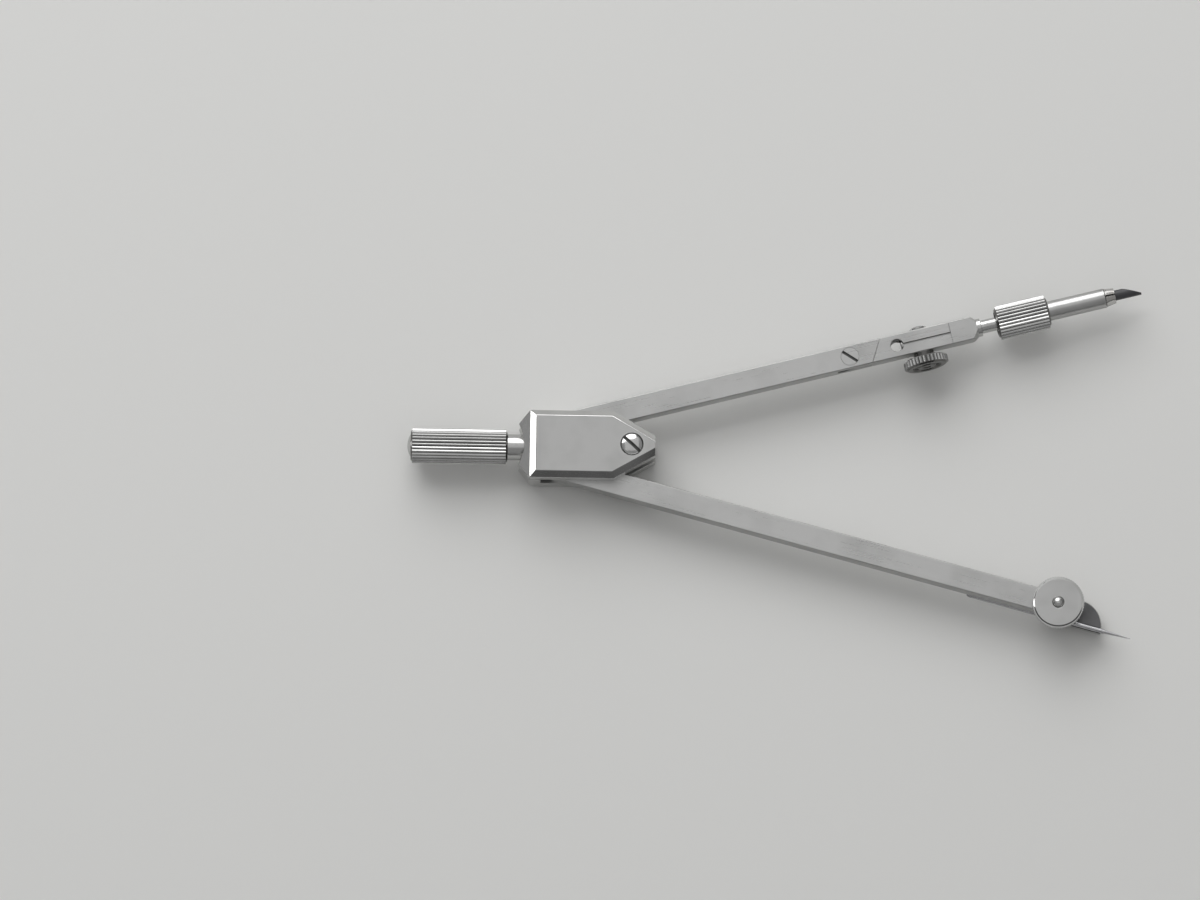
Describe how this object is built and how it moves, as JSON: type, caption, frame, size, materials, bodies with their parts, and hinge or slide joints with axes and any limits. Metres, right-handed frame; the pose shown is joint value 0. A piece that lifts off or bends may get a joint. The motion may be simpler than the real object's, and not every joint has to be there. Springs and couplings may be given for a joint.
{
  "type": "drafting compass",
  "caption": "Metal drafting compass with geared legs in a bevelled head, a fluted handle, a swivelling needle point, a knee joint and a screw-clutch lead insert.",
  "frame": {"origin": "on the rear face of the rear cheek, midway between the two leg pivots", "axes": "+X along the handle's axis towards the points, +Y towards the pencil leg, +Z out of the front cheek"},
  "size_m": [0.1413, 0.0686, 0.0104],
  "materials": {
    "satin_plate": "satin nickel plate",
    "bright_plate": "bright nickel plate",
    "needle_steel": "polished hardened steel",
    "plain_steel": "turned",
    "graphite": "sanded graphite"
  },
  "bodies": {
    "head": {"front_plate": "satin_plate", "rear_plate": "satin_plate", "head_yoke": "satin_plate", "pivot_pins": "plain_steel", "head_spacer": "plain_steel", "head_screw": "bright_plate", "handle_spindle": "bright_plate", "handle_grip": "bright_plate"},
    "needle_leg": {"needle_leg": "satin_plate", "needle_stud": "bright_plate", "knob_washer": "bright_plate"},
    "needle_knob": {"needle_knob": "bright_plate"},
    "needle_holder": {"needle_holder": "satin_plate"},
    "needle": {"needle": "needle_steel"},
    "pencil_leg": {"pencil_leg": "satin_plate", "knee_screw": "satin_plate"},
    "pencil_socket": {"pencil_socket": "satin_plate", "clamp_screw": "bright_plate"},
    "clamp_wheel": {"clamp_wheel": "bright_plate"},
    "lead_insert": {"insert_body": "bright_plate", "collet": "satin_plate"},
    "clutch": {"clutch_nut": "bright_plate", "clutch_sleeve": "bright_plate"},
    "lead": {"lead": "graphite"}
  },
  "joints": [
    {"name": "needle_leg_hinge", "type": "hinge", "parent": "head", "child": "needle_leg", "pos_m": [0, -0.0042, 0.00501], "axis": [0, 0, -1], "range_deg": [-14.6, 20.4]},
    {"name": "pencil_leg_hinge", "type": "hinge", "parent": "head", "child": "pencil_leg", "pos_m": [0, 0.0042, 0.00501], "axis": [0, 0, 1], "range_deg": [-14.6, 20.4]},
    {"name": "knee_hinge", "type": "hinge", "parent": "pencil_leg", "child": "pencil_socket", "pos_m": [0.05584, 0.01874, 0.00501], "axis": [0, 0, -1], "range_deg": [0, 60]},
    {"name": "clamp_wheel_turn", "type": "hinge", "parent": "pencil_socket", "child": "clamp_wheel", "pos_m": [0.06948, 0.0223, 0.00501], "axis": [0.2521, -0.9677, 0], "range_deg": [0, 300]},
    {"name": "insert_slide", "type": "slide", "parent": "pencil_socket", "child": "lead_insert", "axis": [0.9677, 0.2521, 0], "range_m": [0, 0.008]},
    {"name": "clutch_turn", "type": "hinge", "parent": "lead_insert", "child": "clutch", "pos_m": [0.05584, 0.01874, 0.00501], "axis": [0.9677, 0.2521, 0], "range_deg": [0, 250]},
    {"name": "lead_slide", "type": "slide", "parent": "lead_insert", "child": "lead", "axis": [0.9677, 0.2521, 0], "range_m": [-0.004, 0.003]},
    {"name": "knob_turn", "type": "hinge", "parent": "needle_leg", "child": "needle_knob", "pos_m": [0.09667, -0.02938, 0.00501], "axis": [0, 0, 1], "range_deg": [0, 300]},
    {"name": "holder_swivel", "type": "hinge", "parent": "needle_leg", "child": "needle_holder", "pos_m": [0.09667, -0.02938, 0.00501], "axis": [0, 0, 1], "range_deg": [-15, 60]},
    {"name": "needle_slide", "type": "slide", "parent": "needle_holder", "child": "needle", "axis": [0.9677, -0.2521, 0], "range_m": [-0.004, 0.002]}
  ],
  "couplings": [
    {"joint": "pencil_leg_hinge", "follows": "needle_leg_hinge", "ratio": 1}
  ]
}
